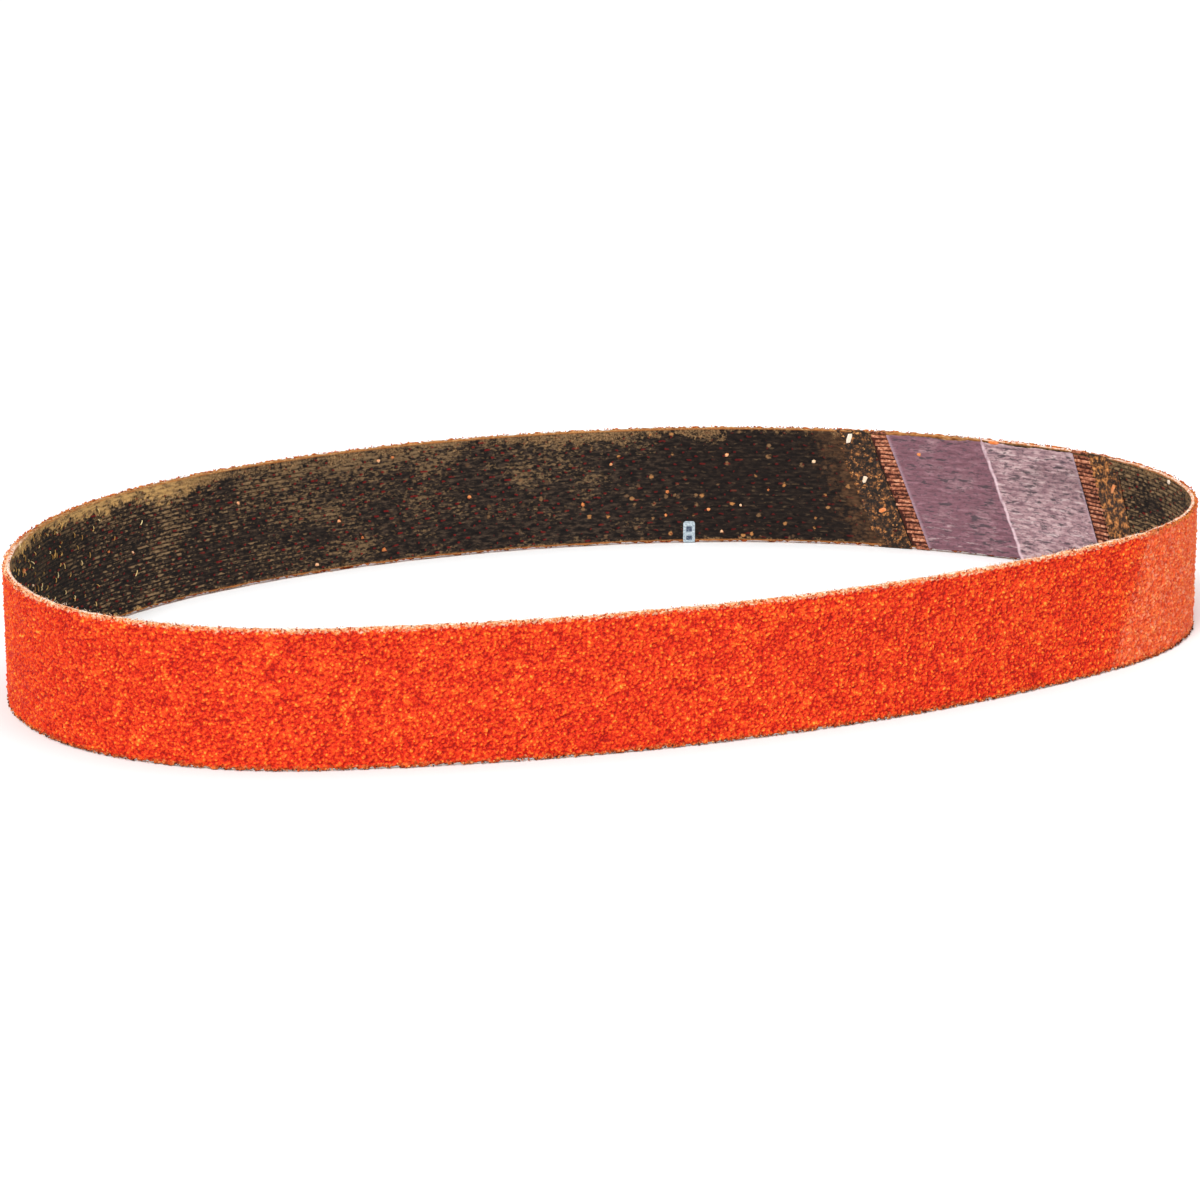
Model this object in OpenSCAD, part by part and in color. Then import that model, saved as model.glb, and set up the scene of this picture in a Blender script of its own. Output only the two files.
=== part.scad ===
// An endless coated-abrasive file belt, standing on one edge as a loose loop.
// The belt is a laminate wound round the loop: dark back coat, woven cloth, resins, mineral grain
// and two top coats. Its two ends meet in an oblique butt joint that a film patch covers inside.
//
// A place on the belt is (s, depth, z): s is the distance along the inner face in millimetres,
// depth is measured outwards from the inner face, and z is the height above the resting edge.

/* [Belt] */
// Width of the belt
belt_width = 19.05; // [12.7:0.05:38.1]
// Inner circumference of the belt
belt_length = 457.2; // [440:0.1:520]
// Turn of the loop about the upright axis, in degrees
loop_turn = 5.6; // [0:0.1:45]

/* [Layers] */
// Thickness of the dark resin coat on the back of the cloth
back_coat_t = 0.06; // [0.04:0.01:0.10]
// Thickness of the lengthwise yarns that form the ribs of the back
warp_t = 0.14; // [0.08:0.01:0.25]
// Thickness of the body of the cloth, crosswise yarns filled with resin
core_t = 0.26; // [0.16:0.01:0.40]
// Thickness of the front fill, the resin that seals the cloth under the make coat
front_fill_t = 0.04; // [0.02:0.01:0.08]
// Thickness of the make coat, the resin that the grain is set in
make_coat_t = 0.08; // [0.05:0.01:0.15]
// Thickness of the bed of mineral grain
grain_t = 0.45; // [0.20:0.01:0.70]
// Thickness of the size coat, the resin that locks the grain
size_coat_t = 0.06; // [0.04:0.01:0.10]
// Thickness of the supersize coat, the coloured grinding aid
supersize_t = 0.06; // [0.04:0.01:0.10]

/* [Cloth] */
// Number of lengthwise yarns across the width
warp_count = 30; // [16:1:40]
// Share of the width that the lengthwise yarns fill
warp_fill = 0.8; // [0.6:0.05:0.9]

/* [Splice] */
// Place of the butt joint along the belt
joint_s = 199.2; // [170:0.1:230]
// Slant of the joint from square across, in degrees
joint_slant = 22.5; // [0:0.5:35]
// Width of the resin line between the two ends
joint_gap = 0.20; // [0.10:0.01:0.40]
// Length of the film patch along the belt
film_length = 31.5; // [20:0.5:36]
// Thickness of the film patch
film_t = 0.12; // [0.08:0.01:0.20]
// Length of the stretch where the back coat is ground away
skive_length = 37; // [36.5:0.5:42]
// Length of the stretch that adhesive residue reaches over
residue_length = 47.5; // [44:0.5:56]
// Thickness of the adhesive residue
residue_t = 0.05; // [0.03:0.01:0.08]
// Length of the stretch round the joint that has no supersize coat
bare_length = 152; // [80:1:180]

/* [Small pieces] */
// Size of the printed mark, along the belt and up it
mark_size = [1.9, 3.6]; // [1:0.1:5]
// Place of the printed mark along the belt
mark_s = 250.1; // [230:0.1:300]
// Thickness of the printed mark
mark_t = 0.03; // [0.02:0.01:0.05]
// Number of loose grains stuck to the back
stray_count = 64; // [10:1:90]

/* [Hidden] */
$fn = 180;
eps = 0.01;

// Depths of the layers, outwards from the inner face
warp_depth = back_coat_t;
core_depth = warp_depth + warp_t;
front_fill_depth = core_depth + core_t;
make_depth = front_fill_depth + front_fill_t;
grain_depth = make_depth + make_coat_t;
size_depth = grain_depth + grain_t;
supersize_depth = size_depth + size_coat_t;

// The loop is a closed chain of tangent arcs that all bend to the left. They meet at headings
// taken from the 3-4-5 triangle. The radii listed set its shape; two more close the chain.
turns = [0, atan2(3, 4), atan2(4, 3)];
headings = concat([for (quarter = [0 : 90 : 270]) for (turn = turns) quarter + turn], [360]);
arc_count = len(headings) - 1;
shape_radii = [188.4, 51.2, 33.8, 38.8, 41.6, 89.8, 121.6, 77.2, 64.2, 40.3];
shape_length = 457.2;

// The way from the start to the end of arc i, for a radius of 1, and its sweep in radians
function normal(heading) = [sin(heading), -cos(heading)];
function chord(i) = normal(headings[i + 1]) - normal(headings[i]);
function sweep(i) = (headings[i + 1] - headings[i]) * PI / 180;
function sum(list, i = 0) = i == len(list) ? 0 * list[0] : list[i] + sum(list, i + 1);
function cross2(a, b) = a.x * b.y - a.y * b.x;

open_end = sum([for (i = [0 : len(shape_radii) - 1]) shape_radii[i] * chord(i)]);
last_chords = [chord(arc_count - 2), chord(arc_count - 1)];
closing_radii = [cross2(last_chords[1], open_end), -cross2(last_chords[0], open_end)]
    / cross2(last_chords[0], last_chords[1]);
arc_radii = concat(shape_radii, closing_radii) * belt_length / shape_length;
arc_starts = [for (i = [0 : arc_count])
    i == 0 ? [0, 0] : sum([for (j = [0 : i - 1]) arc_radii[j] * chord(j)])];
arc_starts_s = [for (i = [0 : arc_count])
    i == 0 ? 0 : sum([for (j = [0 : i - 1]) arc_radii[j] * sweep(j)])];
loop_length = arc_starts_s[arc_count];
arc_centres = [for (i = [0 : arc_count - 1])
    arc_starts[i] - arc_radii[i] * normal(headings[i])];

// The arc that a place s on the loop lies on, and the heading there
function arc_at(s, i = 0) = s < arc_starts_s[i + 1] || i == arc_count - 1 ? i : arc_at(s, i + 1);
function heading_at(s) = let (i = arc_at(s))
    headings[i] + (s - arc_starts_s[i]) / arc_radii[i] * 180 / PI;

// The point of the inner face where the belt runs at a heading, and the loop's middle
function wrap(heading) = (heading % 360 + 360) % 360;
function arc_for(h, i = 0) = h < headings[i + 1] ? i : arc_for(h, i + 1);
function point_heading(h) = let (i = arc_for(wrap(h)))
    arc_centres[i] + arc_radii[i] * normal(wrap(h));
function turned(p) = [
    p.x * cos(loop_turn) - p.y * sin(loop_turn),
    p.x * sin(loop_turn) + p.y * cos(loop_turn)
];
loop_middle = [
    turned(point_heading(90 - loop_turn)).x + turned(point_heading(270 - loop_turn)).x,
    turned(point_heading(180 - loop_turn)).y + turned(point_heading(-loop_turn)).y
] / 2;

// How far an oblique line across the belt leans along it, at height z
function lean(z) = (z - belt_width / 2) * tan(joint_slant);

// Puts the loop in the part's own frame
module in_frame() {
    translate([-loop_middle.x, -loop_middle.y, 0]) rotate(loop_turn) children();
}

// A band of the belt from s = from to s = to, square at both ends, which may run on into a
// second lap: each arc's share is the ring between two circles, cut to a wedge about its centre
module band(from, to, depth, thickness, height = belt_width) {
    linear_extrude(height)
        for (lap = [0, 1], i = [0 : arc_count - 1]) {
            start = max(from - lap * loop_length, arc_starts_s[i]) - arc_starts_s[i];
            end = min(to - lap * loop_length, arc_starts_s[i + 1]) - arc_starts_s[i];
            radius = arc_radii[i];
            side1 = headings[i] + start / radius * 180 / PI;
            side2 = headings[i] + end / radius * 180 / PI;
            if (end > start + eps)
                translate(arc_centres[i])
                    intersection() {
                        difference() {
                            circle(radius + depth + thickness);
                            circle(radius + depth);
                        }
                        polygon([[0, 0], 2 * radius * normal(side1), 2 * radius * normal(side2)]);
                    }
        }
}

// A layer all the way round, open at the butt joint
module layer(depth, thickness) {
    difference() {
        band(0, loop_length, depth, thickness);
        joint_slot();
    }
}

// Its children, put at a place on the inner face: +X along the belt, +Y inwards, +Z up
module at_place(s, depth = 0, z = 0) {
    heading = heading_at(s % loop_length);
    centre = arc_centres[arc_at(s % loop_length)];
    offset = (arc_radii[arc_at(s % loop_length)] + depth) * normal(heading);
    translate([centre.x + offset.x, centre.y + offset.y, z]) rotate(heading) children();
}

// A block that covers the belt from an oblique line at s onwards: side 1 is forwards, -1 back
module beyond(s, side) {
    reach = belt_width;
    at_place(s, 0, belt_width / 2)
        rotate([0, joint_slant, 0])
            translate([side > 0 ? 0 : -reach, -4, -belt_width])
                cube([reach, 8, 2 * belt_width]);
}

// A band with oblique ends
module patch(from, to, depth, thickness) {
    margin = lean(belt_width) + 0.5;
    difference() {
        band(from - margin, to + margin, depth, thickness);
        beyond(from, -1);
        beyond(to, 1);
    }
}

// The same, middled on the butt joint
module joint_patch(length, depth, thickness) {
    patch(joint_s - length / 2, joint_s + length / 2, depth, thickness);
}

// A layer that leaves out a stretch of that length, middled on the butt joint
module layer_clear_of_joint(length, depth, thickness) {
    patch(joint_s + length / 2, joint_s - length / 2 + loop_length, depth, thickness);
}

// The thin oblique slot between the belt's two ends
module joint_slot() {
    at_place(joint_s, 0, belt_width / 2)
        rotate([0, joint_slant, 0])
            translate([-joint_gap / 2, -3, -belt_width])
                cube([joint_gap, 6, 2 * belt_width]);
}

// The lengthwise yarns: one layer, parted by gaps that run all the way round
module warp_yarns() {
    pitch = belt_width / warp_count;
    gap = pitch * (1 - warp_fill);
    color([0.55, 0.36, 0.28])
        difference() {
            layer(warp_depth, warp_t);
            for (i = [0 : warp_count])
                translate([-belt_length / 2, -belt_length / 2, i * pitch - gap / 2])
                    cube([belt_length, belt_length, gap]);
        }
}

module cloth_core() {
    color([0.70, 0.58, 0.44]) layer(core_depth, core_t);
}

module back_size_coat() {
    color([0.16, 0.13, 0.11]) layer_clear_of_joint(skive_length, 0, back_coat_t);
}

module front_fill_coat() {
    color([0.60, 0.42, 0.26]) layer(front_fill_depth, front_fill_t);
}

module make_coat() {
    color([0.45, 0.25, 0.12]) layer(make_depth, make_coat_t);
}

module abrasive_grain() {
    color([0.88, 0.84, 0.74]) layer(grain_depth, grain_t);
}

module size_coat() {
    color([0.92, 0.42, 0.25]) layer(size_depth, size_coat_t);
}

module supersize_coat() {
    color([0.90, 0.25, 0.12]) layer_clear_of_joint(bare_length, supersize_depth, supersize_t);
}

module splice_adhesive() {
    color([0.50, 0.32, 0.20]) joint_patch(film_length, 0, back_coat_t);
}

module splice_film() {
    color([0.58, 0.44, 0.47]) joint_patch(film_length, -film_t, film_t);
}

// The resin that fills the butt joint, from the yarns out to the size coat
module butt_joint_resin() {
    color([0.85, 0.72, 0.70])
        intersection() {
            band(joint_s - 6, joint_s + 6, warp_depth, supersize_depth - warp_depth);
            joint_slot();
        }
}

// Adhesive squeezed out on to the back coat, on both sides of the ground stretch
module residue_bands() {
    color([0.42, 0.28, 0.16])
        for (side = [-1, 1])
            patch(
                joint_s + min(side * skive_length, side * residue_length) / 2,
                joint_s + max(side * skive_length, side * residue_length) / 2,
                -residue_t, residue_t
            );
}

// Slivers of set adhesive: [from the joint, height, length, width, turn, 1 if on the residue]
flakes = [
    [22.0, 17.6, 2.1, 0.8, 60, 1],
    [22.1, 11.0, 1.9, 0.6, 72, 1],
    [21.1, 6.2, 1.8, 0.6, 30, 1],
    [-22.3, 14.2, 1.9, 0.5, 68, 1],
    [-21.5, 4.4, 1.5, 0.5, 40, 1],
    [-38.7, 18.2, 1.6, 0.6, 10, 0]
];
flake_t = 0.16;

module adhesive_flakes() {
    color([0.86, 0.74, 0.60])
        for (f = flakes)
            at_place(joint_s + f[0] + lean(f[1]), -f[5] * residue_t, f[1])
                rotate([-90, 0, 0]) rotate(f[4])
                    translate([-f[2] / 2, -f[3] / 2, 0]) cube([f[2], f[3], flake_t]);
}

// Loose grains stuck to the back, scattered clear of the splice
stray_r = [0.12, 0.30];
stray_from = joint_s + residue_length / 2 + 5;
stray_span = loop_length - residue_length - 34;
stray_s = rands(0, stray_span, stray_count, 11);
stray_z = rands(1, belt_width - 1, stray_count, 12);
stray_size = rands(stray_r[0], stray_r[1], stray_count, 13);
// No grain may sit on the mark
function off_mark(s, z) = abs(s - mark_s) > mark_size.x || z > mark_size.y + 1;

module stray_grains() {
    color([0.83, 0.55, 0.30])
        for (i = [0 : stray_count - 1]) {
            s = stray_from + stray_s[i];
            r = stray_size[i];
            if (off_mark(s, stray_z[i]))
                at_place(s, 0, stray_z[i])
                    difference() {
                        sphere(r, $fn = 24);
                        translate([-2 * r, -4 * r, -2 * r]) cube(4 * r);
                    }
        }
}

module print_mark() {
    color([0.62, 0.68, 0.72])
        band(mark_s - mark_size.x / 2, mark_s + mark_size.x / 2, -mark_t, mark_t, mark_size.y);
}

in_frame() cloth_core();
in_frame() warp_yarns();
in_frame() back_size_coat();
in_frame() front_fill_coat();
in_frame() make_coat();
in_frame() abrasive_grain();
in_frame() size_coat();
in_frame() supersize_coat();
in_frame() splice_adhesive();
in_frame() splice_film();
in_frame() butt_joint_resin();
in_frame() residue_bands();
in_frame() adhesive_flakes();
in_frame() stray_grains();
in_frame() print_mark();
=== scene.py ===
import math

import bpy
import numpy as np
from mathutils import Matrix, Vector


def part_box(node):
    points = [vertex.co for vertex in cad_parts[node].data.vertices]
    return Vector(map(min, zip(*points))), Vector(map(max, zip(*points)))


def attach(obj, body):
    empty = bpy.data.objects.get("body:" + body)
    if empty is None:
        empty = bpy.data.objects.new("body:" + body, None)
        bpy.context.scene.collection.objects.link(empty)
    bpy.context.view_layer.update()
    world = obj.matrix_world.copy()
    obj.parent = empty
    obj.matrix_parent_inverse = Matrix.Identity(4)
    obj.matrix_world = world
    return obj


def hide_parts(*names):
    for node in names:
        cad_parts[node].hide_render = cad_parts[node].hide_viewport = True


# An endless sanding belt that stands on its edge. Places on the belt are in millimetres:
# s along the inner face, z up across the width, depth outwards from the inner face.
# Meshes are made in metres in the frame of the CAD part.

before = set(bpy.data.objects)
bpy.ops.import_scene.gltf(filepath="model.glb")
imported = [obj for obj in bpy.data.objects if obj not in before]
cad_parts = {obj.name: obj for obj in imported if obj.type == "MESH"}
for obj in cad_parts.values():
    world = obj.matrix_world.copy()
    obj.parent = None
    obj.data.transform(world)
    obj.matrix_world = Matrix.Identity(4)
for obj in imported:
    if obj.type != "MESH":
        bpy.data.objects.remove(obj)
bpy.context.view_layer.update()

MM = 0.001
CORE_LOW, CORE_HIGH = (np.array(corner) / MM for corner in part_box("cloth_core"))
WIDTH = float(CORE_HIGH[2] - CORE_LOW[2])
CLOTH_DEPTH = 0.50

# ---- the loop, as in the CAD part: a closed chain of tangent arcs -------------------------

TURNS = [0.0, math.atan2(3, 4), math.atan2(4, 3)]
HEADINGS = np.array([q * math.pi / 2 + t for q in range(4) for t in TURNS] + [2 * math.pi])
RADII = np.array([188.4, 51.2, 33.8, 38.8, 41.6, 89.8, 121.6, 77.2, 64.2, 40.3])
LOOP_TURN = math.radians(5.6)


def outward(heading):
    """The outward direction on an arc, where the belt runs with this heading."""
    return np.stack([np.sin(heading), -np.cos(heading)], -1)


CHORDS = outward(HEADINGS[1:]) - outward(HEADINGS[:-1])
CLOSING = np.linalg.solve(CHORDS[-2:].T, -(RADII[:, None] * CHORDS[:-2]).sum(0))
RADII = np.concatenate([RADII, CLOSING])
STARTS_S = np.concatenate([[0.0], np.cumsum(RADII * np.diff(HEADINGS))])
STARTS = np.concatenate([[[0.0, 0.0]], np.cumsum(CHORDS * RADII[:, None], 0)])
CENTRES = STARTS[:-1] - RADII[:, None] * outward(HEADINGS[:-1])
LENGTH = float(STARTS_S[-1])
TURN = np.array([
    [math.cos(LOOP_TURN), -math.sin(LOOP_TURN)],
    [math.sin(LOOP_TURN), math.cos(LOOP_TURN)],
])


def raw_path(s):
    """Points of the inner face and the outward directions there, in millimetres from where
    the chain of arcs starts."""
    s = np.mod(s, LENGTH)
    arc = np.clip(np.searchsorted(STARTS_S, s, side="right") - 1, 0, len(RADII) - 1)
    heading = HEADINGS[arc] + (s - STARTS_S[arc]) / RADII[arc]
    n = outward(heading)
    p = CENTRES[arc] + RADII[arc][..., None] * n
    return p @ TURN.T, n @ TURN.T


RING, _ = raw_path(np.linspace(0, LENGTH, 20001))
MIDDLE = (RING.min(0) + RING.max(0)) / 2 - (CORE_LOW[:2] + CORE_HIGH[:2]) / 2


def place(s, depth, z):
    """Points in metres in the part's frame for places on the belt."""
    p, n = raw_path(np.asarray(s, float))
    xy = p - MIDDLE + n * np.asarray(depth, float)[..., None]
    return np.concatenate([xy, np.asarray(z, float)[..., None]], -1) * MM


# ---- the splice ---------------------------------------------------------------------------

JOINT_S = 199.2
JOINT_GAP = 0.10
SLANT = math.tan(math.radians(22.5))
# How far these go to each side of the joint: the film, the ground cloth, the residue, and
# the stretch without the supersize coat
FILM_HALF = 15.75
SKIVE_HALF = 18.5
RESIDUE_HALF = 23.75
BARE_HALF = 76.0


def lean(z):
    """How far the slant of the splice shifts a place at this height along the belt."""
    return (z - WIDTH / 2) * SLANT


# ---- noise for the shapes -----------------------------------------------------------------

def wobble(x, step, seed):
    """Smooth random values from -1 to 1 along x, one new value each step."""
    values = np.random.default_rng(seed).uniform(-1, 1, 4096)
    x = np.asarray(x, float) / step
    i = np.floor(x).astype(int)
    t = x - i
    t = t * t * (3 - 2 * t)
    return values[i % 4096] * (1 - t) + values[(i + 1) % 4096] * t


def wobble2(x, y, step, seed):
    """The same over a plane."""
    values = np.random.default_rng(seed).uniform(-1, 1, (1024, 256))
    x = np.asarray(x, float) / step
    y = np.asarray(y, float) / step
    i, j = np.floor(x).astype(int), np.floor(y).astype(int)
    t, w = x - i, y - j
    t, w = t * t * (3 - 2 * t), w * w * (3 - 2 * w)
    i0, i1, j0, j1 = i % 1024, (i + 1) % 1024, j % 256, (j + 1) % 256
    low = values[i0, j0] * (1 - t) + values[i1, j0] * t
    high = values[i0, j1] * (1 - t) + values[i1, j1] * t
    return low * (1 - w) + high * w


# The bed of grain: one grain a cell, GRIT apart, some taller than the rest
GRIT = 0.48
SPARE_ROWS = 3
GRAIN_COUNT = round(LENGTH / GRIT)
GRAIN_ROWS = math.ceil(WIDTH / GRIT) + 2 * SPARE_ROWS
FACETS = 5
SCATTER = 0.38
LOW_GRAIN, TALL_GRAIN = 0.20, 0.38
EXTRA_HEIGHT = 0.13
ORDINARY_SHARE = 0.86
FLAT_TOP = 0.04


def grain_height(s, z):
    """Height in millimetres of the angular grains above the resin they stand in."""
    rng = np.random.default_rng(40)
    shape = (GRAIN_COUNT, GRAIN_ROWS)
    off_s, off_z = rng.uniform(-SCATTER, SCATTER, (2, *shape))
    top = rng.uniform(LOW_GRAIN, TALL_GRAIN, shape)
    top = top + EXTRA_HEIGHT * (rng.uniform(0, 1, shape) > ORDINARY_SHARE)
    first = rng.uniform(0, 2 * math.pi, shape)
    slope = rng.uniform(0.5, 1.9, (FACETS, *shape))
    cell = LENGTH / GRAIN_COUNT
    column = np.floor(s / cell).astype(int)
    row = np.floor(z / GRIT).astype(int)
    out = np.zeros(s.shape)
    for di in (-1, 0, 1):
        for dj in (-1, 0, 1):
            ci, cj = column + di, row + dj
            i, j = ci % GRAIN_COUNT, np.clip(cj + SPARE_ROWS, 0, GRAIN_ROWS - 1)
            ds = s - (ci + 0.5 + off_s[i, j]) * cell
            dz = z - (cj + 0.5 + off_z[i, j]) * GRIT
            fall = np.zeros(s.shape)
            for k in range(FACETS):
                angle = first[i, j] + k * 2 * math.pi / FACETS
                along = ds * np.cos(angle) + dz * np.sin(angle)
                fall = np.maximum(fall, slope[k][i, j] * (along - FLAT_TOP))
            out = np.maximum(out, top[i, j] - fall)
    return out


# ---- mesh building ------------------------------------------------------------------------

# In a bake map, a row that spans a whole plain face takes no more room than a row of an edge
WIDEST_ROW = 5 * MM
EDGE_ROW = 0.4 * MM
ROW_MARGIN = 0.01


def add_object(name, data):
    obj = bpy.data.objects.new(name, data)
    bpy.context.scene.collection.objects.link(obj)
    return obj


def finish_piece(name, vertices, faces, material, nodes, fields, smooth=True):
    """Makes the object from vertices in metres and fields of values on them, puts it on the
    root body and hides the CAD nodes that it stands for."""
    mesh = bpy.data.meshes.new(name)
    mesh.from_pydata(vertices.tolist(), [], faces)
    for key, values in fields.items():
        values = np.asarray(values, np.float32)
        kind = "FLOAT_VECTOR" if values.ndim == 2 else "FLOAT"
        field = "vector" if values.ndim == 2 else "value"
        mesh.attributes.new(key, kind, "POINT").data.foreach_set(field, values.ravel())
    if smooth:
        mesh.polygons.foreach_set("use_smooth", [True] * len(mesh.polygons))
    mesh.update()
    obj = add_object(name, mesh)
    mesh.materials.append(material)
    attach(obj, "root")
    if nodes:
        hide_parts(*nodes)
    return obj


def bake_map(mesh, rows, columns, heights, folds):
    """The UV map that a bake writes through: the strip folded into a few rows."""
    layer = mesh.uv_layers.new(name="OFBake")
    v_row = np.concatenate([[0.0], np.cumsum(heights)])
    v_row = v_row / v_row[-1]
    per_fold = math.ceil((columns - 1) / folds)
    r, c = np.meshgrid(np.arange(rows), np.arange(columns - 1), indexing="ij")
    fold = c // per_fold
    u0 = (c - fold * per_fold) / per_fold
    u1 = (c - fold * per_fold + 1) / per_fold
    v0, v1 = (
        (fold + ROW_MARGIN + (1 - 2 * ROW_MARGIN) * v_row[at]) / folds for at in (r, r + 1)
    )
    uv = np.stack([
        np.stack([u0, v0], -1), np.stack([u1, v0], -1),
        np.stack([u1, v1], -1), np.stack([u0, v1], -1),
    ], 2).reshape(-1, 2)
    full = np.zeros((len(mesh.loops), 2))
    full[:len(uv)] = uv
    layer.data.foreach_set("uv", full.ravel().astype(np.float32))


def laminate(name, u, outer, inner, low, high, counts, material, nodes,
             slanted=True, rough=0.0, fields=None, folds=0, seed=0):
    """A closed strip of the belt between two depths and two edges, with its cut edges.

    u is the row of places along the belt at mid-width. outer and inner give depths from
    (s, z), and low and high give the edges' heights from u. counts is the number of steps
    across the outer face, across the inner face and over each cut edge. fields gives more
    values by name from (s, z). With folds, the strip gets a UV map for baking."""
    u = np.asarray(u, float)
    n_out, n_in, n_rim = counts
    z_low, z_high = low(u), high(u)
    # The rows of the profile: heights, the share of the inner depth, and whether it is a rim
    profile = [(z_low + (z_high - z_low) * k / n_out, 0.0, False) for k in range(n_out + 1)]
    profile += [(z_high, k / n_rim, True) for k in range(1, n_rim)]
    profile += [(z_high + (z_low - z_high) * k / n_in, 1.0, False) for k in range(n_in + 1)]
    profile += [(z_low, 1 - k / n_rim, True) for k in range(1, n_rim)]
    z, share, rim = (np.array(column) for column in zip(*profile))
    s = u[None] + lean(z) * slanted
    share = share[:, None]
    depth = outer(s, z) * (1 - share) + inner(s, z) * share
    if rough:
        rng = np.random.default_rng(seed)
        z = z + rim[:, None] * rng.uniform(-rough, rough, z.shape)
        depth = depth + rim[:, None] * rng.uniform(-rough, rough, z.shape)
    rows, columns = z.shape
    points = place(s, depth, z)
    index = np.arange(rows * columns).reshape(rows, columns)
    below, above = index, np.roll(index, -1, 0)
    quads = np.stack([below[:, :-1], below[:, 1:], above[:, 1:], above[:, :-1]], -1)
    faces = quads.reshape(-1, 4).tolist()
    faces.append(index[:, 0].tolist())
    faces.append(index[::-1, -1].tolist())
    on_rim = rim.copy()
    on_rim[[n_out, n_out + n_rim]] = True
    on_rim[[0, n_out + n_rim + n_in]] = True
    data = {
        "belt": np.stack([s, z, depth], -1).reshape(-1, 3),
        "rim": np.repeat(on_rim.astype(float), columns),
    }
    for key, field in (fields or {}).items():
        data[key] = field(s, z).reshape(-1)
    obj = finish_piece(name, points.reshape(-1, 3), faces, material, nodes, data)
    if folds:
        middle = place(s[:, columns // 2], depth[:, columns // 2], z[:, columns // 2])
        heights = np.linalg.norm(np.roll(middle, -1, 0) - middle, axis=1)
        heights[heights > WIDEST_ROW] = EDGE_ROW
        bake_map(obj.data, rows, columns, heights, folds)
    return obj


def tubes(name, paths, radii, material, nodes, sides, tone, flat=1.0):
    """Many short round or flattened yarns. paths is (count, points, 3) in metres."""
    count, steps, _ = paths.shape
    along = np.gradient(paths, axis=1)
    along /= np.linalg.norm(along, axis=2, keepdims=True) + 1e-12
    helper = np.where(np.abs(along[..., 2:3]) > 0.9, [1.0, 0, 0], [0, 0, 1.0])
    side = np.cross(along, helper)
    side /= np.linalg.norm(side, axis=2, keepdims=True) + 1e-12
    up = np.cross(side, along)
    turn = np.arange(sides) * 2 * math.pi / sides
    ring = side[:, :, None] * np.cos(turn)[:, None] * flat
    ring = ring + up[:, :, None] * np.sin(turn)[:, None]
    points = paths[:, :, None] + ring * radii[:, :, None, None]
    index = np.arange(count * steps * sides).reshape(count, steps, sides)
    turned = np.roll(index, -1, 2)
    quads = np.stack([index[:, :-1], index[:, 1:], turned[:, 1:], turned[:, :-1]], -1)
    faces = quads.reshape(-1, 4).tolist()
    faces += index[:, 0].tolist() + index[:, -1, ::-1].tolist()
    fields = {"tone": np.repeat(tone, steps * sides)}
    finish_piece(name, points.reshape(-1, 3), faces, material, nodes, fields)


GOLD = (1 + math.sqrt(5)) / 2
ICO = np.array([
    [-1, GOLD, 0], [1, GOLD, 0], [-1, -GOLD, 0], [1, -GOLD, 0],
    [0, -1, GOLD], [0, 1, GOLD], [0, -1, -GOLD], [0, 1, -GOLD],
    [GOLD, 0, -1], [GOLD, 0, 1], [-GOLD, 0, -1], [-GOLD, 0, 1],
]) / math.sqrt(1 + GOLD * GOLD)
ICO_FACES = np.array([
    [0, 11, 5], [0, 5, 1], [0, 1, 7], [0, 7, 10], [0, 10, 11],
    [1, 5, 9], [5, 11, 4], [11, 10, 2], [10, 7, 6], [7, 1, 8],
    [3, 9, 4], [3, 4, 2], [3, 2, 6], [3, 6, 8], [3, 8, 9],
    [4, 9, 5], [2, 4, 11], [6, 2, 10], [8, 6, 7], [9, 8, 1],
])


def crumbs(name, centres, axes, material, slot, nodes, seed, tone=None):
    """Angular bits: each an icosahedron with uneven corners. axes is (count, 3, 3), the
    half-axes in metres. Their tones are drawn unless they are given."""
    rng = np.random.default_rng(seed)
    count = len(centres)
    uneven = ICO[None] * rng.uniform(0.62, 1.12, (count, 12, 1))
    points = centres[:, None] + np.einsum("nvk,nkd->nvd", uneven, axes)
    faces = (ICO_FACES[None] + 12 * np.arange(count)[:, None, None]).reshape(-1, 3).tolist()
    tone = rng.uniform(0, 1, count) if tone is None else tone
    fields = {"tone": np.repeat(tone, 12)}
    finish_piece(name, points.reshape(-1, 3), faces, material, nodes, fields, False)


def islands(node):
    """The vertices of each separate solid of a CAD node, in metres."""
    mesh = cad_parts[node].data
    owner = list(range(len(mesh.vertices)))

    def root(i):
        while owner[i] != i:
            owner[i] = owner[owner[i]]
            i = owner[i]
        return i

    points = np.array([v.co for v in mesh.vertices])
    seen = {}
    for i, key in enumerate(map(tuple, np.round(points, 7))):
        if key in seen:
            owner[root(i)] = root(seen[key])
        seen[key] = i
    for polygon in mesh.polygons:
        first = root(polygon.vertices[0])
        for other in polygon.vertices[1:]:
            owner[root(other)] = first
    groups = {}
    for i in range(len(points)):
        groups.setdefault(root(i), []).append(i)
    return [points[members] for _, members in sorted(groups.items())]


# ---- materials ----------------------------------------------------------------------------

def srgb(r, g, b):
    """A colour given in 0 to 255 display values, as the linear values a shader takes."""
    out = []
    for c in (r, g, b):
        c = c / 255
        out.append(c / 12.92 if c <= 0.04045 else ((c + 0.055) / 1.055) ** 2.4)
    return (*out, 1.0)


def connect(value, socket):
    """Gives a socket a node's value, a display colour or a number."""
    if isinstance(value, Value):
        value.tree.links.new(value.socket, socket)
    elif isinstance(value, tuple):
        socket.default_value = srgb(*value)
    else:
        socket.default_value = value


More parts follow.
